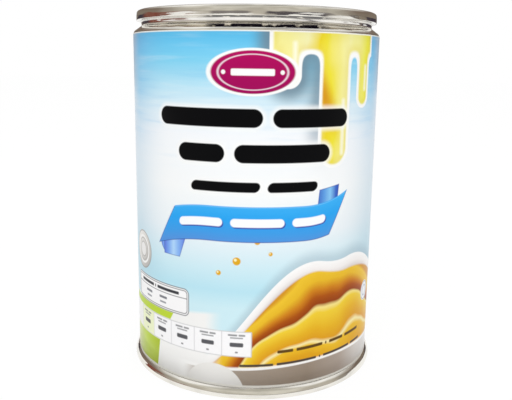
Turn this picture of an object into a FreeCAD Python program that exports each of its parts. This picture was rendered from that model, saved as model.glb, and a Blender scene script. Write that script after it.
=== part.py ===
import FreeCAD, Part
import os
from math import atan2, degrees, hypot, radians, tan
from FreeCAD import Vector

# Necked three-piece food can with a paper label. Millimetres.
# +Z is the can's axis, and the origin is the centre of the circle that it stands on.
# The front of the label faces -Y.

# --- driving dimensions ---------------------------------------------------------------

overall_height = 106.0        # resting face of the bottom seam to the top of the top seam
body_diameter = 73.2          # outside of the tin wall, under the label
body_plate = 0.2              # tin of the wall

neck_inset = 2.2              # how far the wall steps in below the top seam, on the radius
neck_height = 1.2             # straight neck, from the top seam to the shoulder's upper corner
shoulder_slope = 52.0         # degrees between the shoulder and the can's axis
shoulder_fillet = 0.8         # rounding where the wall turns in
neck_fillet = 1.0             # rounding where the shoulder turns up again

end_plate = 0.2               # tin of the two ends
seam_overhang = 1.35          # how far a double seam stands out from the wall
top_seam_height = 3.0
bottom_seam_height = 3.0
seam_crown_fillet = 0.7       # outer rounding of a seam's crown
seam_throat_fillet = 0.6      # inner rounding of a seam's crown, into the chuck wall
seam_lip_fillet = 0.5         # rounding of a seam's rolled lip, beside the wall
crevice_width = 0.15          # gap between the lip and the wall
crevice_depth = 0.7           # how far that gap runs up into the seam

countersink_depth = 3.9       # crown to the bottom of the groove round an end
countersink_width = 1.5
countersink_fillet = 0.6
panel_depth = 3.0             # crown to the panel of an end
bead_count = 3                # concentric expansion beads pressed outwards in a panel
bead_pitch = 5.2
bead_width = 1.7              # flat top of a bead
bead_height = 0.55
bead_flank = 0.6              # radial width of each sloping side of a bead
bead_fillet = 0.5
first_bead_inset = 3.6        # panel's edge to the centre of the outermost bead

label_paper = 0.12
label_overlap = 8.0           # length of the glued lap, round the can
label_lap_angle = 4.0         # degrees from +X, counter-clockwise, where the lap begins
label_bottom_gap = 0.05       # bare tin between the bottom seam and the label
label_top_gap = 0.1           # bare tin between the label and the start of the shoulder

fillet_share = 0.48           # most of an edge that the fillet at one of its ends may take

# --- what follows from them -----------------------------------------------------------

body_radius = body_diameter / 2
neck_radius = body_radius - neck_inset
shoulder_top_z = overall_height - top_seam_height - neck_height
shoulder_bottom_z = shoulder_top_z - neck_inset / tan(radians(shoulder_slope))
shoulder_tangent = shoulder_fillet * tan(radians(shoulder_slope) / 2)
label_bottom_z = bottom_seam_height + label_bottom_gap
label_top_z = shoulder_bottom_z - shoulder_tangent - label_top_gap


# --- profiles: corners are (radius, height, fillet) -----------------------------------

def unit(start, end):
    length = hypot(end[0] - start[0], end[1] - start[1])
    return (end[0] - start[0]) / length, (end[1] - start[1]) / length, length


def turn_at(before, corner, after):
    """Signed angle by which the path turns at a corner, positive to the left."""
    ax, ay, _ = unit(before, corner)
    bx, by, _ = unit(corner, after)
    return atan2(ax * by - ay * bx, ax * bx + ay * by)


def fillet_points(before, corner, after):
    """Start, middle and end of the arc that rounds a corner, held to the edges beside it."""
    ax, ay, a_length = unit(before, corner)
    bx, by, b_length = unit(corner, after)
    half_turn = abs(turn_at(before, corner, after)) / 2
    reach = min(corner[2] * tan(half_turn), fillet_share * a_length, fillet_share * b_length)
    start = (corner[0] - ax * reach, corner[1] - ay * reach)
    end = (corner[0] + bx * reach, corner[1] + by * reach)
    inward_x, inward_y, _ = unit(corner, ((start[0] + end[0]) / 2, (start[1] + end[1]) / 2))
    radius = reach / tan(half_turn)
    to_arc = hypot(radius, reach) - radius
    middle = (corner[0] + inward_x * to_arc, corner[1] + inward_y * to_arc)
    return start, middle, end


def profile_edges(corners):
    """Straight edges through the corners, each corner rounded by its fillet."""
    edges = []
    last = corners[0]
    for before, corner, after in zip(corners, corners[1:], corners[2:]):
        if corner[2] == 0:
            edges.append(line(last, corner))
            last = corner
        else:
            start, middle, end = fillet_points(before, corner, after)
            edges.append(line(last, start))
            edges.append(Part.Arc(point(start), point(middle), point(end)).toShape())
            last = end
    edges.append(line(last, corners[-1]))
    return edges


def point(place):
    return Vector(place[0], 0, place[1])


def line(start, end):
    return Part.LineSegment(point(start), point(end)).toShape()


def offset_right(corners, distance):
    """The same path moved sideways to its right, with fillets that stay concentric."""
    moved = []
    last = len(corners) - 1
    for i, corner in enumerate(corners):
        ax, ay, _ = unit(corners[max(i - 1, 0)], corners[max(i, 1)])
        bx, by, _ = unit(corners[min(i, last - 1)], corners[min(i + 1, last)])
        # the miter runs along the sum of the two normals
        nx, ny = ay + by, -(ax + bx)
        scale = distance * 2 / (nx * nx + ny * ny)
        fillet = corner[2]
        if 0 < i < last:
            left_turn = turn_at(corners[i - 1], corner, corners[i + 1]) > 0
            fillet = max(fillet + (distance if left_turn else -distance), 0.0)
        moved.append((corner[0] + nx * scale, corner[1] + ny * scale, fillet))
    return moved


def revolve(corners):
    """The solid of a profile whose first and last corners lie on the axis."""
    edges = profile_edges(corners) + [line(corners[-1], corners[0])]
    face = Part.Face(Part.Wire(edges))
    return face.revolve(Vector(0, 0, 0), Vector(0, 0, 1), 360)


# --- the ends -------------------------------------------------------------------------

def panel_corners(panel_radius):
    """The beaded panel of an end, from its centre out to its edge, as depths."""
    corners = [(0.0, panel_depth, 0.0)]
    for i in reversed(range(bead_count)):
        centre = panel_radius - first_bead_inset - i * bead_pitch
        top = bead_width / 2
        foot = top + bead_flank
        corners += [
            (centre - foot, panel_depth, bead_fillet),
            (centre - top, panel_depth - bead_height, bead_fillet),
            (centre + top, panel_depth - bead_height, bead_fillet),
            (centre + foot, panel_depth, bead_fillet),
        ]
    corners.append((panel_radius, panel_depth, countersink_fillet))
    return corners


def end_skins(wall_radius, seam_height):
    """The exposed skin of an end and its underside, as depths below the crown."""
    chuck_radius = wall_radius - body_plate - end_plate
    panel_radius = chuck_radius - countersink_width
    hook_depth = seam_height - crevice_depth
    sheet = panel_corners(panel_radius) + [
        (panel_radius, countersink_depth, countersink_fillet),
        (chuck_radius, countersink_depth, countersink_fillet),
    ]
    seam = [
        (chuck_radius, 0.0, seam_throat_fillet),
        (wall_radius + seam_overhang, 0.0, seam_crown_fillet),
        (wall_radius + seam_overhang, seam_height, seam_lip_fillet),
        (wall_radius + crevice_width, seam_height, seam_lip_fillet),
        (wall_radius + crevice_width, hook_depth, 0.0),
        (wall_radius - body_plate, hook_depth, 0.0),
    ]
    # the sheet's underside is the same path, one plate thickness deeper
    under = [(r, -depth, fillet) for r, depth, fillet in sheet + [(chuck_radius, hook_depth, 0.0)]]
    under = [(r, -height, fillet) for r, height, fillet in offset_right(under, end_plate)]
    return sheet + seam, under


def can_end(wall_radius, seam_height):
    """One end with its double seam, crown at z = 0 and the can below it."""
    skin, under = end_skins(wall_radius, seam_height)
    around = skin[:-1] + under[::-1]
    return revolve([(r, -depth, fillet) for r, depth, fillet in around])


def top_end():
    end = can_end(neck_radius, top_seam_height)
    end.translate(Vector(0, 0, overall_height))
    return end


def bottom_end():
    end = can_end(body_radius, bottom_seam_height)
    end.rotate(Vector(0, 0, 0), Vector(1, 0, 0), 180)
    return end


# --- the wall with what it holds --------------------------------------------------------

def can_body():
    """The tin wall and the filled inside, up to the underside of both ends."""
    _, under_top = end_skins(neck_radius, top_seam_height)
    _, under_bottom = end_skins(body_radius, bottom_seam_height)
    lid = [(r, overall_height - depth, fillet) for r, depth, fillet in under_top]
    base = under_bottom[::-1]
    wall = [
        (neck_radius, lid[-1][1], 0.0),
        (neck_radius, shoulder_top_z, neck_fillet),
        (body_radius, shoulder_bottom_z, shoulder_fillet),
        (body_radius, base[0][1], 0.0),
    ]
    return revolve(lid + wall + base)


# --- the label --------------------------------------------------------------------------

def sleeve(inner_radius, length_angle):
    height = label_top_z - label_bottom_z
    base = Vector(0, 0, label_bottom_z)
    outer = Part.makeCylinder(inner_radius + label_paper, height, base, Vector(0, 0, 1), length_angle)
    inner = Part.makeCylinder(inner_radius, height, base, Vector(0, 0, 1), length_angle)
    return outer.cut(inner)


def paper_label():
    """A sleeve of paper round the wall, with a glued lap of a second ply."""
    lap_radius = body_radius + label_paper
    lap = sleeve(lap_radius, degrees(label_overlap / lap_radius))
    lap.rotate(Vector(0, 0, 0), Vector(0, 0, 1), label_lap_angle)
    label = sleeve(body_radius, 360).fuse(lap)
    return label.Solids[0]


os.makedirs("parts", exist_ok=True)
for node, shape in {
    "can_body": can_body(),
    "top_end": top_end(),
    "bottom_end": bottom_end(),
    "paper_label": paper_label(),
}.items():
    shape.exportStep("parts/" + node + ".step")
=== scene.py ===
from functools import reduce
from math import atan2, cos, hypot, pi, radians, sin, tan

import bpy
from mathutils import Matrix, Vector

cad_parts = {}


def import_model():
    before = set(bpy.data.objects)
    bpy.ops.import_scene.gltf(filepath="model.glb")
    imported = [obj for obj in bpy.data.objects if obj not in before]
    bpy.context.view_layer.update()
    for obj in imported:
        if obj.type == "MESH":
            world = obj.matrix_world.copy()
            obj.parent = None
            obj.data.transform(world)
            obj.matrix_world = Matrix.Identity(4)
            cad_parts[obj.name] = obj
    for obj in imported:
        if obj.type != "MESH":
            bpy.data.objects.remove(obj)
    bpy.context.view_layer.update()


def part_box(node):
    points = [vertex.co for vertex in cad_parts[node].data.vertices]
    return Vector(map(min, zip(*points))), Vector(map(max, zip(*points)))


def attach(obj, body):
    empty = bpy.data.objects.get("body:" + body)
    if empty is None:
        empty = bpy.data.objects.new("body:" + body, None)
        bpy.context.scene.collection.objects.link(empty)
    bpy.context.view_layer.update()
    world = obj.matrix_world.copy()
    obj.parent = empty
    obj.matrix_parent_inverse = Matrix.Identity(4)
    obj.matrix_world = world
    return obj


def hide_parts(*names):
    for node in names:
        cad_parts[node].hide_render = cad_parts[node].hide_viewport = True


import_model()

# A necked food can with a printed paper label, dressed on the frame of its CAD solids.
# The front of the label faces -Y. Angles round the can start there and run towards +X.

MM = 0.001

# --- sizes, in millimetres, from the frame ----------------------------------------------

_, wall_high = (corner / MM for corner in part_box("can_body"))
lid_low, lid_high = (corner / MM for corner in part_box("top_end"))
_, base_high = (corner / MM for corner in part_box("bottom_end"))
paper_low, paper_high = (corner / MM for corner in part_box("paper_label"))

can_height = lid_high.z
wall_radius = wall_high.x
seam_overhang = base_high.x - wall_radius
neck_radius = lid_high.x - seam_overhang
paper_height = paper_high.z - paper_low.z

# --- sizes that the frame doesn't give, in millimetres ----------------------------------

tin, paper = 0.2, 0.12        # thickness of the two sheets
seam_height = 3.0
throat_fillet = 0.6           # a seam's inner rounding, into its end
lip_drop = 0.3                # how far the top seam's lip slants down towards the neck
crevice_width, crevice_depth = 0.04, 0.1
neck_height, neck_flare, neck_fillet = 1.2, 0.2, 0.6
shoulder_slope, shoulder_fillet = radians(52), 0.8
countersink_width, countersink_fillet = 1.5, 0.6
panel_depth = 3.0
bead_count, bead_pitch, first_bead_inset = 3, 5.2, 3.6
bead_width, bead_height, bead_flank, bead_fillet = 1.7, 0.55, 0.6, 0.5
end_unevenness, wall_unevenness = 0.025, 0.03

# the outer side of each seam, as (inset from its rim, depth, fillet)
lid_flank = ((0.16, 0.0, 0.75), (0.0, 1.7, 1.2), (0.03, 2.72, 0.2), (0.1, 2.82, 0.15))
base_flank = ((0.0, 0.0, 0.7), (0.02, 1.45, 0.7), (0.46, 2.4, 1.2), (1.05, seam_height, 0.3))

# --- what follows from them -------------------------------------------------------------

countersink_depth = can_height - lid_low.z - tin
label_radius = wall_radius + paper
half_round = pi * label_radius            # the design fills half the way round, twice
lap_start, lap_angle, lap_ramp = radians(94), 8.0 / label_radius, radians(2.5)

ROUND = 384                   # segments round the can, a multiple of 4
FILLET_STEPS = 5
FILLET_SHARE = 0.48           # most of an edge that the fillet at one of its ends may take
SLIVER = 1e-5                 # angle between the foot and the top of the label's lap


# --- meshes -----------------------------------------------------------------------------

def add_object(name, data):
    thing = bpy.data.objects.new(name, data)
    bpy.context.scene.collection.objects.link(thing)
    return thing


def new_piece(name, points, faces, material, node):
    """A smooth-shaded mesh piece, given in millimetres, that stands for a CAD node."""
    mesh = bpy.data.meshes.new(name)
    mesh.from_pydata([Vector(p) * MM for p in points], [], faces)
    mesh.shade_smooth()
    mesh.materials.append(material)
    piece = add_object(name, mesh)
    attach(piece, "root")
    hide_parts(node)
    return piece


def round_at(radius, angle, z):
    """The point at an angle round the can."""
    return radius * sin(angle), -radius * cos(angle), z


def unit(start, end):
    """Direction and length of an edge."""
    length = hypot(end[0] - start[0], end[1] - start[1])
    return (end[0] - start[0]) / length, (end[1] - start[1]) / length, length


def turn_at(before, corner, after):
    """Signed angle by which the path turns at a corner, positive to the left."""
    ax, ay, _ = unit(before, corner)
    bx, by, _ = unit(corner, after)
    return atan2(ax * by - ay * bx, ax * bx + ay * by)


def rounded(corners):
    """The path through (radius, height, fillet) corners, each fillet as short chords."""
    path = [corners[0][:2]]
    for before, corner, after in zip(corners, corners[1:], corners[2:]):
        if corner[2] == 0:
            path.append(corner[:2])
            continue
        ax, ay, a_length = unit(before, corner)
        _, _, b_length = unit(corner, after)
        turn = turn_at(before, corner, after)
        half_tangent = tan(abs(turn) / 2)
        reach = min(corner[2] * half_tangent, FILLET_SHARE * a_length, FILLET_SHARE * b_length)
        radius = reach / half_tangent
        side = 1 if turn > 0 else -1
        centre_x = corner[0] - ax * reach - ay * radius * side
        centre_y = corner[1] - ay * reach + ax * radius * side
        start = atan2(-ax * side, ay * side)
        for step in range(FILLET_STEPS + 1):
            angle = start + turn * step / FILLET_STEPS
            path.append((centre_x + radius * cos(angle), centre_y + radius * sin(angle)))
    path.append(corners[-1][:2])
    return path


def offset_right(corners, distance):
    """The same path moved sideways to its right, with fillets that stay concentric."""
    moved = []
    last = len(corners) - 1
    for i, corner in enumerate(corners):
        ax, ay, _ = unit(corners[max(i - 1, 0)], corners[max(i, 1)])
        bx, by, _ = unit(corners[min(i, last - 1)], corners[min(i + 1, last)])
        # the miter runs along the sum of the two normals
        nx, ny = ay + by, -(ax + bx)
        scale = distance * 2 / (nx * nx + ny * ny)
        fillet = corner[2]
        if 0 < i < last:
            left_turn = turn_at(corners[i - 1], corner, corners[i + 1]) > 0
            fillet = max(fillet + (distance if left_turn else -distance), 0.0)
        moved.append((corner[0] + nx * scale, corner[1] + ny * scale, fillet))
    return moved


def ripple(angle, z):
    """The unevenness of rolled tin, from -3.4 to 0, so that it only runs inwards."""
    sway = sin(5 * angle + 1.3 * z) + 0.5 * sin(13 * angle - 1.9 * z + 1) + 0.2 * sin(29 * angle)
    return sway - 1.7


def lathe(name, corners, material, node, unevenness):
    """A closed solid of revolution whose profile starts and ends on the axis."""
    profile = rounded(corners)
    ring = profile[1:-1]
    points = [(0, 0, profile[0][1])]
    for i in range(ROUND):
        angle = 2 * pi * i / ROUND
        points += [round_at(r + unevenness * ripple(angle, z), angle, z) for r, z in ring]
    points.append((0, 0, profile[-1][1]))
    count = len(ring)
    faces = []
    for i in range(ROUND):
        here = 1 + i * count
        there = 1 + (i + 1) % ROUND * count
        faces.append((0, there, here))
        faces += [(here + k, there + k, there + k + 1, here + k + 1) for k in range(count - 1)]
        faces.append((here + count - 1, there + count - 1, len(points) - 1))
    new_piece(name, points, faces, material, node)


def panel_corners(panel_radius):
    """The beaded panel of an end, from its centre out to its edge, as (radius, depth, fillet)."""
    corners = [(0.0, panel_depth, 0.0)]
    for i in reversed(range(bead_count)):
        centre = panel_radius - first_bead_inset - i * bead_pitch
        top = bead_width / 2
        foot = top + bead_flank
        corners += [
            (centre - foot, panel_depth, bead_fillet),
            (centre - top, panel_depth - bead_height, bead_fillet),
            (centre + top, panel_depth - bead_height, bead_fillet),
            (centre + foot, panel_depth, bead_fillet),
        ]
    corners.append((panel_radius, panel_depth, countersink_fillet))
    return corners


def end_skins(radius, at_top):
    """The exposed skin of an end and its underside, as (radius, depth, fillet)."""
    chuck_radius = radius - 2 * tin
    panel_radius = chuck_radius - countersink_width
    hook_depth = seam_height - crevice_depth
    sheet = panel_corners(panel_radius) + [
        (panel_radius, countersink_depth, countersink_fillet),
        (chuck_radius, countersink_depth, countersink_fillet),
    ]
    rim_radius = radius + seam_overhang
    if at_top:
        flank, root_depth = lid_flank, seam_height + lip_drop
    else:
        flank, root_depth = base_flank, seam_height
    seam = [
        (chuck_radius, 0.0, throat_fillet),
        *[(rim_radius - inset, depth, fillet) for inset, depth, fillet in flank],
        (radius + crevice_width, root_depth, 0.0),
        (radius + crevice_width, hook_depth, 0.0),
        (radius - tin, hook_depth, 0.0),
    ]
    # the sheet's underside is the same path, one thickness of tin deeper
    under = [(r, -depth, fillet) for r, depth, fillet in sheet + [(chuck_radius, hook_depth, 0.0)]]
    under = [(r, -height, fillet) for r, height, fillet in offset_right(under, tin)]
    return sheet + seam, under


def can_end(name, radius, material, node, at_top):
    """One end with its double seam."""
    skin, under = end_skins(radius, at_top)
    around = skin[:-1] + under[::-1]
    if at_top:
        around = [(r, can_height - depth, fillet) for r, depth, fillet in around[::-1]]
    lathe(name, around, material, node, end_unevenness)


def can_wall(material):
    """The wall with its neck and shoulder, filled up to the undersides of both ends."""
    _, under_lid = end_skins(neck_radius, True)
    _, under_base = end_skins(wall_radius, False)
    lid = [(r, can_height - depth, fillet) for r, depth, fillet in under_lid]
    base = under_base[::-1]
    neck_top = can_height - seam_height
    shoulder_top = neck_top - neck_height
    shoulder_bottom = shoulder_top - (wall_radius - neck_radius) / tan(shoulder_slope)
    side = [
        (neck_radius, lid[-1][1], 0.0),
        (neck_radius, neck_top, 0.0),
        (neck_radius - neck_flare, shoulder_top, neck_fillet),
        (wall_radius, shoulder_bottom, shoulder_fillet),
        (wall_radius, base[0][1], 0.0),
    ]
    around = (lid + side + base)[::-1]
    lathe("tin_wall", around, material, "can_body", wall_unevenness)


def sleeve_stations():
    """(angle, radius) round the label, from the back: it steps up at the lap and ramps down."""
    stations = []
    for i in range(ROUND + 1):
        angle = -pi + 2 * pi * i / ROUND
        past = angle - lap_start
        if past < 0:
            rise = 0.0
        else:
            if stations[-1][0] < lap_start:
                stations.append((angle - SLIVER, label_radius))
            rise = min(max((lap_angle + lap_ramp - past) / lap_ramp, 0.0), 1.0)
        stations.append((angle, label_radius + paper * rise))
    return stations


def unwrap_sleeve(mesh, arcs, rows):
    """Print runs once round the sleeve, and OFBake holds its two halves one above the other.

    An arc is a face's two angles and its place in the section: first the outer rows, then the
    top edge, the inside and the bottom edge.
    """
    outer_start, outer_share = 0.02, 0.46
    edge_start, edge_share = 0.005, 0.01
    printed = mesh.uv_layers.new(name="Print")
    baked = mesh.uv_layers.new(name="OFBake")
    for face, (start, end, k) in zip(mesh.polygons, arcs):
        half = 0 if start + end < 0 else 1
        for corner, loop in enumerate(face.loop_indices):
            turns = (start if corner in (0, 3) else end) / (2 * pi) + 0.5
            z = mesh.vertices[mesh.loops[loop].vertex_index].co.z / MM
            height = (z - paper_low.z) / paper_height
            printed.data[loop].uv = (turns, height)
            if k < rows:
                row = outer_start + outer_share * height
            else:
                row = edge_start + edge_share * (corner > 1)
            baked.data[loop].uv = (min(max(turns * 2 - half, 0.0), 1.0), 0.5 * half + row)


def paper_sleeve(material):
    """The label, a closed sleeve of paper round the wall."""
    rows = 12
    stations = sleeve_stations()
    heights = [paper_low.z + paper_height * k / rows for k in range(rows + 1)]
    points, faces, arcs = [], [], []
    for angle, radius in stations[:-1]:
        points += [round_at(radius, angle, z) for z in heights]
        points += [round_at(wall_radius, angle, z) for z in (heights[-1], heights[0])]
    count = len(heights) + 2
    last = len(stations) - 1
    for i in range(last):
        here, there = i * count, (i + 1) % last * count
        for k in range(count):
            after = (k + 1) % count
            faces.append((here + k, there + k, there + after, here + after))
            arcs.append((stations[i][0], stations[i + 1][0], k))
    piece = new_piece("printed_label", points, faces, material, "paper_label")
    unwrap_sleeve(piece.data, arcs, rows)


# --- shader arithmetic ------------------------------------------------------------------

def rgb(red, green, blue):
    """A colour written as in a paint chart, 0 to 255, made linear."""
    def linear(level):
        level /= 255
        return level / 12.92 if level <= 0.04045 else ((level + 0.055) / 1.055) ** 2.4
    return linear(red), linear(green), linear(blue), 1.0


class Field:
    """A number or colour that varies over a surface: an output socket with arithmetic."""

    def __init__(self, socket):
        self.socket = socket

    def __add__(self, other):
        return calc("ADD", self, other)

    def __sub__(self, other):
        return calc("SUBTRACT", self, other)

    def __rsub__(self, other):
        return calc("SUBTRACT", other, self)

    def __mul__(self, other):
        return calc("MULTIPLY", self, other)

    def __truediv__(self, other):
        return calc("DIVIDE", self, other)

    def __neg__(self):
        return calc("MULTIPLY", self, -1)

    def __abs__(self):
        return calc("ABSOLUTE", self)

    __radd__ = __add__
    __rmul__ = __mul__


def put(socket, value):
    """Links a field to an input, or writes a plain value there."""
    if isinstance(value, Field):
        socket.id_data.links.new(value.socket, socket)
    else:
        socket.default_value = value


def tree_of(*values):
    """The node tree in which the first field among some values lives."""
    return next(value.socket.id_data for value in values if isinstance(value, Field))


def calc(operation, *values, clamp=False):
    """One step of arithmetic, as a Math node."""
    node = tree_of(*values).nodes.new("ShaderNodeMath")
    node.operation = operation
    node.use_clamp = clamp
    for socket, value in zip(node.inputs, values):
        put(socket, value)
    return Field(node.outputs[0])


def low(*values):
    """The lowest of some values, place by place."""
    return reduce(lambda one, other: calc("MINIMUM", one, other), values)


def high(*values):
    """The highest of some values, place by place."""
    return reduce(lambda one, other: calc("MAXIMUM", one, other), values)


def ramp_up(field, start, end):
    """0 below start, 1 above end, smooth between. Start may be above end."""
    node = field.socket.id_data.nodes.new("ShaderNodeMapRange")
    node.interpolation_type = "SMOOTHSTEP"
    put(node.inputs["Value"], field)
    flip = start > end
    node.inputs["From Min"].default_value = min(start, end)
    node.inputs["From Max"].default_value = max(start, end)
    node.inputs["To Min"].default_value = 1.0 if flip else 0.0
    node.inputs["To Max"].default_value = 0.0 if flip else 1.0
    return Field(node.outputs["Result"])


def colours_along(field, stops):
    """A colour ramp from (value, colour) stops."""
    node = field.socket.id_data.nodes.new("ShaderNodeValToRGB")
    first, span = stops[0][0], stops[-1][0] - stops[0][0]
    put(node.inputs[0], (field - first) / span)
    elements = node.color_ramp.elements
    while len(elements) < len(stops):
        elements.new(0.5)
    for element, (value, colour) in zip(elements, stops):
        element.position = (value - first) / span
        element.color = colour
    return Field(node.outputs[0])


def blend(mask, under, over):
    """Under where the mask is 0, over where it is 1."""
    node = tree_of(mask, under, over).nodes.new("ShaderNodeMix")
    node.data_type = "RGBA"
    # the node has a pair of inputs and an output for each type of data; these are the colours
    under_socket, over_socket, result = node.inputs[6], node.inputs[7], node.outputs[2]
    put(node.inputs["Factor"], mask)
    put(under_socket, under)
    put(over_socket, over)
    return Field(result)


def noise(tree, place, detail=2.0, roughness=0.5):
    """Soft noise from 0 to 1 at a place made of three fields."""
    join = tree.nodes.new("ShaderNodeCombineXYZ")
    for socket, value in zip(join.inputs, place):
        put(socket, value)
    node = tree.nodes.new("ShaderNodeTexNoise")
    tree.links.new(join.outputs[0], node.inputs["Vector"])
    node.inputs["Scale"].default_value = 1.0
    node.inputs["Detail"].default_value = detail
    node.inputs["Roughness"].default_value = roughness
    return Field(node.outputs[0])


def parts_of(tree, socket):
    """The three parts of a vector, as fields."""
    split = tree.nodes.new("ShaderNodeSeparateXYZ")
    tree.links.new(socket, split.inputs[0])
    return [Field(part) for part in split.outputs]


def object_place(tree, scale):
    """The three object coordinates, in units of scale metres."""
    coordinates = tree.nodes.new("ShaderNodeTexCoord")
    return [part / scale for part in parts_of(tree, coordinates.outputs["Object"])]


def new_material(name):
    """A material with its node tree and its Principled shader."""
    material = bpy.data.materials.new(name)
    material.use_nodes = True
    tree = material.node_tree
    return material, tree, tree.nodes["Principled BSDF"]


def bump(tree, shader, height, distance):
    """Gives a shader relief: a height of 1 stands the distance, in millimetres, proud."""
    node = tree.nodes.new("ShaderNodeBump")
    node.inputs["Strength"].default_value = 1.0
    node.inputs["Distance"].default_value = distance * MM
    put(node.inputs["Height"], height)
    tree.links.new(node.outputs[0], shader.inputs["Normal"])


# --- shapes of the print: distances in millimetres, negative inside ---------------------

INK_EDGE = 0.14               # softness of a printed edge


def ink(distance, edge=INK_EDGE):
    """1 inside a shape, 0 outside, with a soft printed edge."""
    return calc("MULTIPLY_ADD", distance, -0.5 / edge, 0.5, clamp=True)


def length(x, y):
    return calc("SQRT", x * x + y * y)


def disc(x, y, radius):
    return length(x, y) - radius


def oval(x, y, half_width, half_height):
    return (length(x / half_width, y / half_height) - 1) * min(half_width, half_height)


def rounded_box(past_x, past_y, corner):
    """A box with rounded corners, from how far a place lies past its sides, across and up."""
    dx, dy = past_x + corner, past_y + corner
    return length(high(dx, 0.0), high(dy, 0.0)) + low(high(dx, dy), 0.0) - corner


def block(x, y, half_width, half_height, corner):
    return rounded_box(abs(x) - half_width, abs(y) - half_height, corner)


def bars(x, y, start, widths, gap, half_height, corner):
    """A row of rounded bars, from start to the right, as one shape."""
    past_sides = []
    for width in widths:
        past_sides.append(abs(x - (start + width / 2)) - width / 2)
        start += width + gap
    return rounded_box(low(*past_sides), abs(y) - half_height, corner)


def outline(distance, half_width):
    """The line along the edge of a shape, where its distance is 0."""
    return abs(distance) - half_width


# --- the label's print ------------------------------------------------------------------

class Sheet:
    """A printed sheet: x along the paper from the front's middle, z above its lower edge."""

    def __init__(self, tree, x, z, colour):
        self.tree, self.x, self.z, self.colour = tree, x, z, colour

    def paint(self, colour, mask):
        self.colour = blend(mask, self.colour, colour)


WHITE = rgb(250, 250, 248)


def sky(sheet):
    """Blue at the top, white behind the headline, pale blue lower down and at the sides, where
    painted light lifts the blue and a painted sheen pales the edges high up.
    """
    x, z = sheet.x, sheet.z
    middle = colours_along(z, [
        (23, rgb(206, 236, 244)), (28, rgb(186, 228, 241)), (34, rgb(206, 235, 244)),
        (44, rgb(236, 243, 247)), (56, rgb(247, 249, 249)), (70, rgb(244, 247, 250)),
        (77, rgb(222, 239, 247)), (83, rgb(182, 227, 245)), (89, rgb(130, 210, 241)),
        (95, rgb(96, 194, 238)),
    ])
    # the sides' own tones: the print's pale blue, lifted as painted light where the shading falls off
    # round the can
    sides_with_painted_light = colours_along(z, [
        (23, rgb(196, 222, 232)), (32, rgb(176, 212, 227)), (48, rgb(208, 226, 236)),
        (62, rgb(212, 228, 239)), (70, rgb(198, 222, 239)), (80, rgb(160, 209, 238)),
        (88, rgb(136, 198, 236)), (95, rgb(122, 187, 233)),
    ])
    sheet.colour = blend(ramp_up(abs(x), 24, 47) * 0.9, middle, sides_with_painted_light)
    streak = noise(sheet.tree, (x * 0.035, z * 0.42, 0.0), detail=3.0)
    high_up = ramp_up(z, 56, 78)
    sheet.paint(WHITE, ramp_up(streak, 0.5, 0.8) * high_up * 0.28)
    sheet.paint(rgb(96, 186, 232), ramp_up(streak, 0.5, 0.2) * high_up * 0.3)
    # painted sheen: a pale grey band near both turning edges, high up, stands in for the reflection
    # at grazing angles
    sheet.paint(rgb(226, 228, 232), ramp_up(abs(x), 39, 48) * high_up * 0.45)


def drips(sheet):
    """Cream that runs down from the upper edge in three drips, with a shadow beside it."""
    x, z = sheet.x, sheet.z
    pool_depth, pool_middle, pool_half, softness = 5.5, 21, 17.5, 4.5
    shape = high(paper_height - pool_depth - z, abs(x - pool_middle) - pool_half)
    for middle, radius, tip in ((8.5, 3.4, 85.5), (22.5, 5.4, 66.5), (34.0, 3.2, 80.0)):
        drip = length(x - middle, low(z - tip, 0.0)) - radius
        shape = calc("SMOOTH_MIN", shape, drip, softness)
    near = ramp_up(shape, 7, 0)
    shadow = near * near
    sheet.paint(rgb(66, 108, 126), shadow * ramp_up(x, 30, 12) * ramp_up(z, 58, 84) * 0.85)
    sheet.paint(rgb(150, 165, 180), shadow * ramp_up(x, 30, 20) * ramp_up(z, 60, 74) * 0.4)
    sheet.paint(WHITE, ink(shape))
    body = ramp_up(shape, -0.6, -1.5)
    swirl = noise(sheet.tree, (x * 0.09, z * 0.05, 3.0))
    flow = x + (swirl - 0.5) * 12
    cream = colours_along(flow, [
        (4, rgb(245, 236, 130)), (13, rgb(244, 240, 180)), (18, rgb(238, 215, 40)),
        (21, rgb(240, 226, 60)), (27, rgb(245, 240, 165)), (36, rgb(238, 234, 70)),
    ])
    sheet.paint(cream, body)
    sheet.paint(rgb(226, 206, 88), ramp_up(shape, -3.4, -1.2) * body * 0.3)
    amber = oval(x - 18.6 + (z - 80) * 0.45, z - 81, 2.2, 6.5)
    sheet.paint(rgb(214, 138, 24), ramp_up(amber, 2.4, -2.0) * body * 0.85)
    for middle, height, half in ((25.4, 72, 7.5), (35.0, 85, 3.5), (10.0, 91, 3.0)):
        glint = block(x - middle, z - height, 0.55, half, 0.5)
        sheet.paint(rgb(252, 250, 225), ink(glint, 0.5) * body * 0.9)


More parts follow.
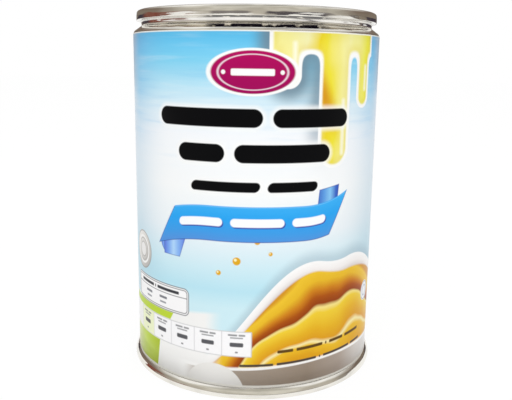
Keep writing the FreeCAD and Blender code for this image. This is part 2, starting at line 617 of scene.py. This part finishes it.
def waves(sheet):
    """Golden waves with a white crest that rise towards the right, and a few beads of gold."""
    x, z = sheet.x, sheet.z
    wander = noise(sheet.tree, (x * 0.05, z * 0.03, 7.0))
    rise = ramp_up(x, -18, 20) * 27.5 - ramp_up(x, 30, 52) * 9
    crest = rise + calc("SINE", x / 6.2 + 0.6) * 1.7 + 9.0
    depth = crest - z
    sheet.paint(rgb(150, 170, 184), ramp_up(depth, -4.5, 0.0) * ramp_up(x, -20, -8) * 0.45)
    sheet.paint(colours_along(depth, [
        (0, rgb(252, 251, 250)), (2.2, rgb(244, 240, 238)), (4, rgb(214, 206, 202)),
    ]), ink(-depth))
    flow = depth + calc("SINE", x / 7.5 + z * 0.16) * 1.8 + (wander - 0.5) * 9
    gold = colours_along(flow, [
        (3, rgb(214, 150, 40)), (4.4, rgb(238, 196, 52)), (7, rgb(232, 186, 44)),
        (9.5, rgb(206, 128, 30)), (11.2, rgb(172, 84, 20)), (12.8, rgb(150, 66, 18)),
        (13.6, rgb(246, 226, 140)), (14.6, rgb(240, 206, 58)), (18, rgb(230, 178, 38)),
        (20.5, rgb(222, 158, 34)), (21.6, rgb(248, 236, 176)), (22.6, rgb(236, 190, 46)),
        (26, rgb(224, 164, 32)), (30, rgb(214, 146, 30)),
    ])
    sheet.paint(gold, ink(3.4 - depth + calc("SINE", x / 4.3) * 0.5, 0.3))
    for px, pz, size in ((-4.5, 36.5, 1.1), (1.0, 42.0, 0.8), (-9.5, 33.0, 0.7), (4.6, 38.6, 0.55)):
        sheet.paint(rgb(226, 170, 36), ink(disc(x - px, z - pz, size)))
        glint = disc(x - px + size * 0.3, z - pz - size * 0.3, size * 0.35)
        sheet.paint(rgb(252, 244, 190), ink(glint))


def table_top(sheet):
    """A pale ground at the lower left, a grey-brown one under the waves and a white mound."""
    x, z = sheet.x, sheet.z
    far_edge = calc("SINE", x / 17 + 0.8) * 1.8 + 21.0
    sheet.paint(rgb(244, 243, 241), ink(z - far_edge, 0.5) * ramp_up(x, -8, -14))
    edge = calc("SINE", x / 14 - 0.4) * 0.9 + 5.6
    brown = colours_along(x, [
        (-20, rgb(214, 208, 202)), (-9, rgb(168, 155, 142)), (16, rgb(154, 139, 124)),
        (28, rgb(176, 162, 151)), (37, rgb(216, 210, 205)), (46, rgb(238, 235, 233)),
    ])
    sheet.paint(rgb(250, 249, 247), ink(z - edge - 0.9, 0.3) * ramp_up(x, -24, -18))
    sheet.paint(brown, ink(z - edge) * ramp_up(x, -21, -16))
    mound = disc(x + 11.0, z + 2.4, 9.0)
    sheet.paint(colours_along(mound, [(-8, rgb(250, 249, 247)), (0, rgb(238, 236, 232))]), ink(mound))


def figures_row(sheet):
    """Lime fields with a row of blank cells, and small bars where figures would stand."""
    x, z = sheet.x, sheet.z
    lime = colours_along(x, [
        (-49, rgb(222, 230, 160)), (-44, rgb(206, 220, 120)), (-38, rgb(192, 214, 74)),
        (-31, rgb(176, 196, 56)),
    ])
    left_end, top_end = -50 - x, z - 9.0
    slant = x + 31 - (z - 4) * 0.16
    sheet.paint(WHITE, ink(high(slant - 0.5, top_end, left_end)))
    sheet.paint(lime, ink(high(slant, top_end, left_end)))
    stripe = high(abs(z - 17.7) - 1.1, x + 24.8 - (z - 17.7) * 0.6, left_end)
    sheet.paint(rgb(190, 214, 60), ink(stripe))

    cell, cells, cell_height = 8.3, 5, 7.2
    left, middle = -41.7, 12.8
    half_width = cells * cell / 2
    strip = block(x - (left + half_width), z - middle, half_width, cell_height / 2, 0.2)
    sheet.paint(rgb(206, 206, 206), ink(strip - 0.12))
    sheet.paint(rgb(250, 249, 250), ink(strip + 0.12))
    sheet.paint(rgb(240, 245, 205), ink(strip + 0.12) * ink(x - (left + cell)))
    within = calc("WRAP", x - left, cell, 0.0) - cell / 2
    divider = cell / 2 - abs(within) - 0.09
    sheet.paint(rgb(204, 203, 205), ink(divider) * ink(strip))
    for colour, up, start, widths, half_height, corner in (
        (rgb(150, 150, 152), 2.6, -2.4, (2.6, 1.8), 0.26, 0.2),
        (rgb(160, 160, 162), 1.8, -1.8, (3.6,), 0.2, 0.15),
        (rgb(92, 92, 96), -0.2, -1.9, (3.8,), 0.62, 0.4),
        (rgb(140, 140, 142), -2.4, -0.4, (0.8,), 0.24, 0.2),
    ):
        figures = bars(within, z - middle - up, start, widths, 0.4, half_height, corner)
        sheet.paint(colour, ink(figures) * ink(strip + 0.3))


def notice_box(sheet):
    """A white box with a double outline, a divider and bars for its few words."""
    x, z = sheet.x + 31.4, sheet.z - 22.9
    box = block(x, z, 12.8, 3.9, 1.6)
    inner = box + 0.55
    sheet.paint(rgb(250, 249, 249), ink(box))
    sheet.paint(rgb(96, 98, 104), ink(outline(box, 0.12)))
    sheet.paint(rgb(70, 72, 78), ink(outline(inner, 0.1)))
    sheet.paint(rgb(80, 82, 88), ink(abs(z - 1.1) - 0.1) * ink(inner))
    sheet.paint(rgb(60, 62, 66), ink(bars(x, z - 2.2, -9.5, (7.8, 0.5, 9.2), 0.7, 0.45, 0.25)))
    sheet.paint(rgb(126, 128, 134), ink(bars(x, z + 0.4, -6.4, (3.6, 3.4), 4.0, 0.36, 0.2)))
    sheet.paint(rgb(150, 152, 158), ink(bars(x, z + 1.9, -6.0, (2.8, 2.8), 4.6, 0.26, 0.15)))


def grey_seal(sheet):
    """A blank embossed round seal in warm grey."""
    x, z = sheet.x + 40.0, sheet.z - 34.2
    radius = 5.7
    rim = disc(x, z, radius)
    step, core = rim + radius * 0.42, rim + radius * 0.62
    shade = colours_along(x * 0.7 - z * 0.7, [
        (-radius, rgb(240, 238, 234)), (0, rgb(214, 211, 206)), (radius, rgb(186, 183, 180)),
    ])
    sheet.paint(shade, ink(rim))
    sheet.paint(rgb(150, 147, 144), ink(outline(rim + 0.15, 0.14)))
    sheet.paint(rgb(246, 245, 243), ink(outline(rim + radius * 0.3, 0.3)))
    sheet.paint(rgb(168, 165, 162), ink(outline(step, 0.12)))
    sheet.paint(rgb(236, 234, 232), ink(core))
    sheet.paint(rgb(160, 157, 154), ink(outline(core, 0.12)))


def ribbon(sheet):
    """A blue ribbon with two folded tails and white bars in place of its words."""
    x, z = sheet.x, sheet.z
    navy = rgb(44, 66, 150)
    from_left, from_right = x + 23.4, x - 21.4
    curl = high(oval(x + 26.0, z - 39.9, 2.8, 3.5), z - 39.7)
    left_tail = high(-from_left - 4.0, from_left - 4.3 + (43.0 - z) * 0.36,
                     abs(z - 38.6 + x * 0.01) - 2.8)
    right_tail = high(abs(from_right - (z - 54) * 0.1) - 3.2, abs(z - 53.0 - (x - 21) * 0.16) - 2.8)
    for fold, across, shades in (
        (curl, from_left, [(-5.6, rgb(78, 112, 208)), (-4.6, rgb(120, 160, 236))]),
        (left_tail, from_left, [
            (-4, rgb(98, 122, 218)), (-2.2, rgb(126, 170, 240)), (-0.4, rgb(176, 214, 250)),
            (1.4, rgb(136, 180, 242)), (4, rgb(92, 118, 220)),
        ]),
        (right_tail, from_right, [
            (-4, rgb(60, 96, 190)), (-1.6, rgb(96, 158, 226)), (0.4, rgb(136, 198, 242)),
            (2.4, rgb(64, 104, 196)), (4, rgb(50, 82, 176)),
        ]),
    ):
        sheet.paint(navy, ink(fold - 0.12))
        sheet.paint(colours_along(across, shades), ink(fold))

    # the band hangs at its left end and rises at its right end
    droop, lift = low(x + 12, 0.0), high(x - 14, 0.0)
    up = z - (46.65 - droop * droop * 0.010 + lift * lift * 0.016)
    left_end = (-23.0 - (50.2 - z) * 0.573 - x) * 0.87
    right_end = (x - 28 + (54.3 - z) * 0.54) * 0.88
    band = high(abs(up) - 4.75, left_end, right_end)
    sheet.paint(navy, ink(high(band - 0.16, up - 4.6)))
    sheet.paint(colours_along(up + x * 0.02, [
        (-4.9, rgb(84, 148, 222)), (-2.6, rgb(66, 156, 230)), (1.2, rgb(44, 164, 240)),
        (4.9, rgb(62, 176, 244)),
    ]), ink(band))
    sheet.paint(rgb(150, 212, 250), ink(outline(up - 4.5, 0.1)) * ink(band + 0.2) * 0.6)
    words = (-21.5, (13.0, 14.5, 10.0), 2.2, 1.15, 1.15)
    sheet.paint(rgb(58, 76, 168), ink(bars(x - 0.3, up, *words)))
    sheet.paint(rgb(250, 252, 255), ink(bars(x, up - 0.35, *words)))


def badge(sheet):
    """A plain magenta oval with a white rim, a fine inner line, a bar and two dots."""
    x, z = sheet.x + 0.8, sheet.z - 86.2
    shape = oval(x, z, 11.0, 5.4)
    sheet.paint(WHITE, ink(shape - 0.6))
    sheet.paint(colours_along(z, [(-5, rgb(158, 10, 88)), (5, rgb(178, 10, 92))]), ink(shape))
    sheet.paint(rgb(250, 236, 244), ink(outline(shape + 0.95, 0.1)))
    sheet.paint(WHITE, ink(block(x, z, 5.6, 0.85, 0.4)))
    for side in (-1, 1):
        sheet.paint(WHITE, ink(disc(x - side * 7.6, z, 0.55)))


def headline(sheet):
    """Dark bars of the weight of a three-line headline, each with a faint pale glow."""
    x, z = sheet.x, sheet.z
    lean = x - (z - 56.6) * 0.22
    rows = (
        (x, z - 74.6, -28.0, (30.0, 22.5), 2.6, 2.4, 2.4),
        (x, z - 65.4, -21.5, (13.5, 26.5), 2.6, 2.4, 2.4),
        (lean, z - 56.6, -17.5, (19.0, 14.0), 2.0, 1.35, 1.35),
    )
    for row in rows:
        shape = bars(*row)
        sheet.paint(WHITE, ramp_up(shape, 1.6, 0.1) * 0.7)
        sheet.paint(rgb(5, 5, 7), ink(shape))


def small_words(sheet):
    """Thin bars for the small lines at the lower right, and a small blank stamp."""
    x, z = sheet.x, sheet.z
    upper = z - (calc("SINE", x / 20 - 0.5) * 0.8 + 10.6)
    lower = upper + 3.6
    words = bars(x, upper, 7.0, (4.6, 8.4, 0.5, 5.6, 7.4), 1.0, 0.45, 0.3)
    sheet.paint(rgb(96, 70, 30), ink(words))
    words = bars(x, lower, -3.5, (9.4, 12.0, 0.5, 11.0, 5.5), 1.0, 0.36, 0.25)
    sheet.paint(rgb(78, 70, 62), ink(words))
    stamp = disc(x - 42.5, z - 21.5, 3.1)
    sheet.paint(rgb(244, 246, 248), ink(stamp))
    sheet.paint(rgb(150, 162, 186), ink(outline(stamp + 0.35, 0.14)))
    sheet.paint(rgb(176, 186, 204), ink(outline(stamp + 1.5, 0.2)))


def side_panel(sheet):
    """A pale column at each side of the can, ruled and filled with lines of tiny bars."""
    x = calc("WRAP", sheet.x, half_round, 0.0) - half_round / 2
    z = sheet.z - paper_height / 2
    panel = block(x, z, 8.4, 44.5, 1.2)
    sheet.paint(rgb(240, 246, 249), ink(panel))
    sheet.paint(rgb(120, 150, 176), ink(outline(panel + 0.5, 0.1)))
    pitch = 1.9
    row = calc("FLOOR", z / pitch)
    down = calc("WRAP", z, pitch, 0.0) - pitch / 2
    words = noise(sheet.tree, (x * 0.55, row * 7.3, 1.0), detail=0.0)
    table = ink(block(x, z - 21, 7.2, 21, 0.4))
    columns = ramp_up(abs(x + 0.5), 0.6, 0.8)
    bits = ink(outline(down, 0.34)) * ramp_up(words, 0.38, 0.42)
    sheet.paint(rgb(110, 118, 130), bits * table * columns)
    sheet.paint(rgb(170, 180, 192), ink(outline(down - pitch / 2 + 0.05, 0.05)) * table)
    notes = ink(block(x, z + 23, 7.2, 18, 0.4))
    bits = ink(outline(down, 0.26)) * ramp_up(words, 0.32, 0.36)
    sheet.paint(rgb(128, 136, 148), bits * notes)


def margins(sheet):
    """The unprinted paper along both edges."""
    bare = ink(sheet.z - 0.7) + ink(paper_height - 0.3 - sheet.z)
    sheet.paint(rgb(253, 251, 244), bare)


MOTIFS = (sky, drips, waves, table_top, figures_row, notice_box, grey_seal, ribbon, headline, badge,
          small_words, side_panel, margins)


def motif_group(draw):
    """A node group that paints one motif over the colour that it is given."""
    tree = bpy.data.node_groups.new(draw.__name__, "ShaderNodeTree")
    for name, kind in (("Colour", "Color"), ("Along", "Float"), ("Height", "Float")):
        tree.interface.new_socket(name, in_out="INPUT", socket_type="NodeSocket" + kind)
    tree.interface.new_socket("Colour", in_out="OUTPUT", socket_type="NodeSocketColor")
    colour, along, height = (Field(socket) for socket in tree.nodes.new("NodeGroupInput").outputs[:3])
    sheet = Sheet(tree, along, height, colour)
    draw(sheet)
    put(tree.nodes.new("NodeGroupOutput").inputs[0], sheet.colour)
    return tree


def label_material():
    """Glossy paper with the same print on its front and its back half."""
    material, tree, shader = new_material("printed_paper")
    uv = tree.nodes.new("ShaderNodeUVMap")
    uv.uv_map = "Print"
    turns, height, _ = parts_of(tree, uv.outputs[0])
    around = (turns - 0.5) * (2 * half_round)
    x = calc("WRAP", around, half_round / 2, -half_round / 2)
    z = height * paper_height
    colour = WHITE
    for draw in MOTIFS:
        motif = tree.nodes.new("ShaderNodeGroup")
        motif.node_tree = motif_group(draw)
        for socket, value in zip(motif.inputs, (colour, x, z)):
            put(socket, value)
        colour = Field(motif.outputs[0])
    put(shader.inputs["Base Color"], colour)
    shader.inputs["Roughness"].default_value = 0.28
    shader.inputs["IOR"].default_value = 1.5
    shader.inputs["Specular IOR Level"].default_value = 0.06
    fibre = noise(tree, (around * 1.6, z * 3.2, 0.0), detail=4.0, roughness=0.6)
    cockle = noise(tree, (around * 0.05, z * 0.03, 5.0), detail=1.0)
    bump(tree, shader, fibre * 0.02 + cockle, 0.12)
    return material


# --- the tin ----------------------------------------------------------------------------

def tin_material(name, tone, ring_scale, corner=None):
    """Bright rolled tinplate: faint rings from the rollers, soft dents and duller patches.

    A corner (radius, height) gets painted shade: dark, mottled colour in the neck's crevice under the
    overhang of the top seam, which the shoulder mirrors.
    """
    material, tree, shader = new_material(name)
    x, y, z = object_place(tree, MM)
    radius = length(x, y)
    rings = noise(tree, (radius * ring_scale, z * ring_scale, 0.0), detail=2.0)
    patches = noise(tree, (x * 0.12, y * 0.12, z * 0.4), detail=3.0)
    bright = rgb(*tone)
    dull = rgb(*(level * 0.93 for level in tone))
    colour = blend(ramp_up(patches, 0.4, 0.7), bright, dull)
    if corner:
        turn = calc("ARCTAN2", x, -y)
        stretches = calc("COSINE", turn * 3 - 0.3) + (patches - 0.5) * 0.8
        shade_mottle = noise(tree, (x * 0.4, y * 0.4, z * 2), detail=3.0)
        painted_crevice_shade = ramp_up(stretches, -0.05, 0.4) * ramp_up(shade_mottle, 0.66, 0.54)
        beyond_neck, above_lip = radius - corner[0], z - corner[1]
        painted_crevice_shade *= ramp_up(beyond_neck, 0.05, 0.25) * ramp_up(beyond_neck, 1.25, 1.15)
        painted_crevice_shade *= ramp_up(above_lip, -0.5, -0.4) * ramp_up(above_lip, 0.32, 0.26)
        # painted shade: the crevice under the top seam's lip is coloured dark, so that the shoulder
        # reflects a dark band
        colour = blend(painted_crevice_shade, colour, rgb(28, 25, 38))
    put(shader.inputs["Base Color"], colour)
    put(shader.inputs["Roughness"], ramp_up(patches, 0.35, 0.75) * 0.05 + rings * 0.03 + 0.05)
    shader.inputs["Metallic"].default_value = 1.0
    dents = noise(tree, (x * 0.13, y * 0.13, z * 0.75), detail=1.0)
    bump(tree, shader, -(rings * 0.03 + dents), 0.09)
    return material


# --- studio -----------------------------------------------------------------------------

def view_only(tree, seen, otherwise):
    """Seen by the camera and in reflections, another shader for the light itself."""
    path = tree.nodes.new("ShaderNodeLightPath")
    shown = high(Field(path.outputs["Is Camera Ray"]), Field(path.outputs["Is Glossy Ray"]),
                 Field(path.outputs["Is Transmission Ray"]))
    mix = tree.nodes.new("ShaderNodeMixShader")
    put(mix.inputs[0], shown)
    tree.links.new(otherwise.outputs[0], mix.inputs[1])
    tree.links.new(seen.outputs[0], mix.inputs[2])
    return mix


def world():
    """White where it is seen, a little dimmer as a light."""
    scene_world = bpy.data.worlds.new("studio")
    bpy.context.scene.world = scene_world
    scene_world.use_nodes = True
    tree = scene_world.node_tree
    light = tree.nodes["Background"]
    light.inputs["Color"].default_value = (1, 1, 1, 1)
    light.inputs["Strength"].default_value = 0.8
    white = tree.nodes.new("ShaderNodeBackground")
    white.inputs["Color"].default_value = (1, 1, 1, 1)
    mix = view_only(tree, white, light)
    tree.links.new(mix.outputs[0], tree.nodes["World Output"].inputs[0])


def floor():
    """A white floor that the camera sees as white, apart from a faint contact shadow."""
    size = 4.0
    mesh = bpy.data.meshes.new("floor")
    corners = [(-size, -size, 0), (size, -size, 0), (size, size, 0), (-size, size, 0)]
    mesh.from_pydata(corners, [], [(0, 1, 2, 3)])
    material, tree, shader = new_material("floor_white")
    shader.inputs["Base Color"].default_value = rgb(236, 236, 236)
    shader.inputs["Roughness"].default_value = 0.8
    shader.inputs["Specular IOR Level"].default_value = 0.0
    glow = tree.nodes.new("ShaderNodeEmission")
    glow.inputs["Strength"].default_value = 1.04
    share = tree.nodes.new("ShaderNodeMixShader")
    share.inputs[0].default_value = 0.88      # of the glow; the rest takes the shadow
    tree.links.new(shader.outputs[0], share.inputs[1])
    tree.links.new(glow.outputs[0], share.inputs[2])
    mix = view_only(tree, share, shader)
    tree.links.new(mix.outputs[0], tree.nodes["Material Output"].inputs[0])
    mesh.materials.append(material)
    add_object("floor", mesh)


def area_light(name, place, aim, size, power):
    """A square lamp that reflections don't show."""
    light = bpy.data.lights.new(name, "AREA")
    light.size = size
    light.energy = power
    lamp = add_object(name, light)
    lamp.location = place
    lamp.rotation_euler = (Vector(aim) - Vector(place)).to_track_quat("-Z", "Y").to_euler()
    lamp.visible_glossy = False


def dome(name, radius):
    """Half a sphere over the floor, as a mesh."""
    rows, columns = 16, 48
    points, faces = [(0, 0, radius)], []
    for row in range(rows):
        tilt = (pi / 2) * row / rows
        for column in range(columns):
            turn = 2 * pi * column / columns
            points.append(round_at(radius * cos(tilt), turn, radius * sin(tilt)))
    for column in range(columns):
        after = (column + 1) % columns
        for row in range(rows - 1):
            here = 1 + row * columns
            above = here + columns
            faces.append((here + column, here + after, above + after, above + column))
        top = 1 + (rows - 1) * columns
        faces.append((top + column, top + after, 0))
    mesh = bpy.data.meshes.new(name)
    mesh.from_pydata(points, [], faces)
    return mesh


def room_tones(tree, x, y, z):
    """The tones of a dim room, seen from its middle: x, y and z run to 1 at its walls."""
    before = colours_along(z, [
        (0.0, rgb(214, 209, 201)), (0.1, rgb(194, 188, 178)), (0.26, rgb(190, 185, 175)),
        (0.42, rgb(222, 219, 210)), (0.6, rgb(208, 205, 196)), (0.85, rgb(190, 187, 178)),
    ])
    behind = colours_along(z, [
        (0.0, rgb(150, 140, 128)), (0.1, rgb(134, 124, 112)), (0.35, rgb(122, 106, 96)),
        (0.6, rgb(206, 203, 198)), (0.85, rgb(196, 193, 188)), (1.0, rgb(228, 226, 222)),
    ])
    tones = blend(ramp_up(y, -0.4, 0.4), before, behind)

    # dark and russet things along the horizon
    clutter = noise(tree, (x * 3.0, y * 3.0, z * 9.0 + 4.0), detail=3.0, roughness=0.6)
    swept = x + (clutter - 0.5) * 0.3
    left_shape = ramp_up(swept, -0.72, -0.62) * ramp_up(swept, -0.02, -0.1) * 0.7
    right_shape = ramp_up(swept, 0.1, 0.18) * ramp_up(swept, 0.98, 0.84)
    russet_shape = ramp_up(swept, -0.82, -0.9) * 0.8
    in_front = ramp_up(y, 0.3, -0.1)
    at_back = ramp_up(clutter, 0.36, 0.5) * (1 - in_front)
    dusky = (at_back + (left_shape + right_shape) * in_front) * 0.9
    dusky = high(dusky, russet_shape) * ramp_up(z, 0.15, 0.115)
    dusk = blend(ramp_up(x, -0.7, -0.85), rgb(52, 46, 62), rgb(128, 66, 54))
    tones = blend(dusky, tones, dusk)

    # a white ceiling over the can, and in it a dark arc that the shoulder reflects
    ceiling = ramp_up(y, -0.42, -0.3) * ramp_up(y, 0.5, 0.36) * ramp_up(z, 0.5, 0.65)
    tones = blend(ceiling, tones, rgb(252, 252, 252))
    patches = noise(tree, (x * 5.0, y * 4.0, z * 2.0), detail=3.0, roughness=0.6)
    across = x * x
    arc = abs(y + 0.27 - across * (across * 1.2 + 0.6)) + (patches - 0.5) * 0.15
    right_part = ramp_up(x, 0.04, 0.09) * ramp_up(x, 0.7, 0.6)
    left_part = ramp_up(abs(x + 0.22), 0.22, 0.14) * 0.5
    overhead = ramp_up(arc, 0.15, 0.1) * (right_part + left_part) * ramp_up(z, 0.5, 0.6)
    return blend(overhead, tones, rgb(30, 26, 42))


def room():
    """A dome that only reflections see, for the tin to mirror."""
    radius = 3.0
    mesh = dome("room", radius)
    material, tree, shader = new_material("room")
    tree.nodes.remove(shader)
    glow = tree.nodes.new("ShaderNodeEmission")
    put(glow.inputs["Color"], room_tones(tree, *object_place(tree, radius)))
    tree.links.new(glow.outputs[0], tree.nodes["Material Output"].inputs[0])
    mesh.materials.append(material)
    shell = add_object("room", mesh)
    shell.visible_camera = False
    shell.visible_diffuse = False
    shell.visible_shadow = False
    shell.visible_transmission = False
    shell.visible_volume_scatter = False


def studio():
    """The world, the floor, the room that the tin mirrors, and two lamps."""
    world()
    floor()
    room()
    aim, lamp_size = (0, 0, can_height * MM / 2), 0.8
    area_light("key", (-0.5, -0.9, 0.7), aim, lamp_size, 3.2)
    area_light("fill", (0.8, -0.7, 0.45), aim, lamp_size, 2.0)


def camera():
    """Close to the can, a little below its rim, tipped down and rolled slightly."""
    distance, height = 205.8, 91.4
    pitch, yaw, roll = radians(11.68), radians(0.16), radians(0.83)
    forward = Vector((sin(yaw) * cos(pitch), cos(yaw) * cos(pitch), -sin(pitch)))
    right = Vector((cos(yaw), -sin(yaw), 0))
    up = right.cross(forward)
    tilted_right = right * cos(roll) + up * sin(roll)
    tilted_up = up * cos(roll) - right * sin(roll)
    data = bpy.data.cameras.new("camera")
    data.sensor_width = 36
    data.lens = 46.4
    data.clip_start = 0.01
    eye = add_object("camera", data)
    turn = Matrix((tilted_right, tilted_up, -forward)).transposed()
    eye.matrix_world = Matrix.Translation(Vector((0, -distance, height)) * MM) @ turn.to_4x4()
    bpy.context.scene.camera = eye


# --- the can ----------------------------------------------------------------------------

wall_tin = tin_material("tin_wall", (240, 237, 231), 2.2)
end_tin = tin_material("tin_end", (240, 237, 229), 3.0, (neck_radius, can_height - seam_height))
can_wall(wall_tin)
can_end("lid_end", neck_radius, end_tin, "top_end", True)
can_end("base_end", wall_radius, end_tin, "bottom_end", False)
paper_sleeve(label_material())

camera()
studio()
bpy.context.scene.view_settings.view_transform = "Standard"
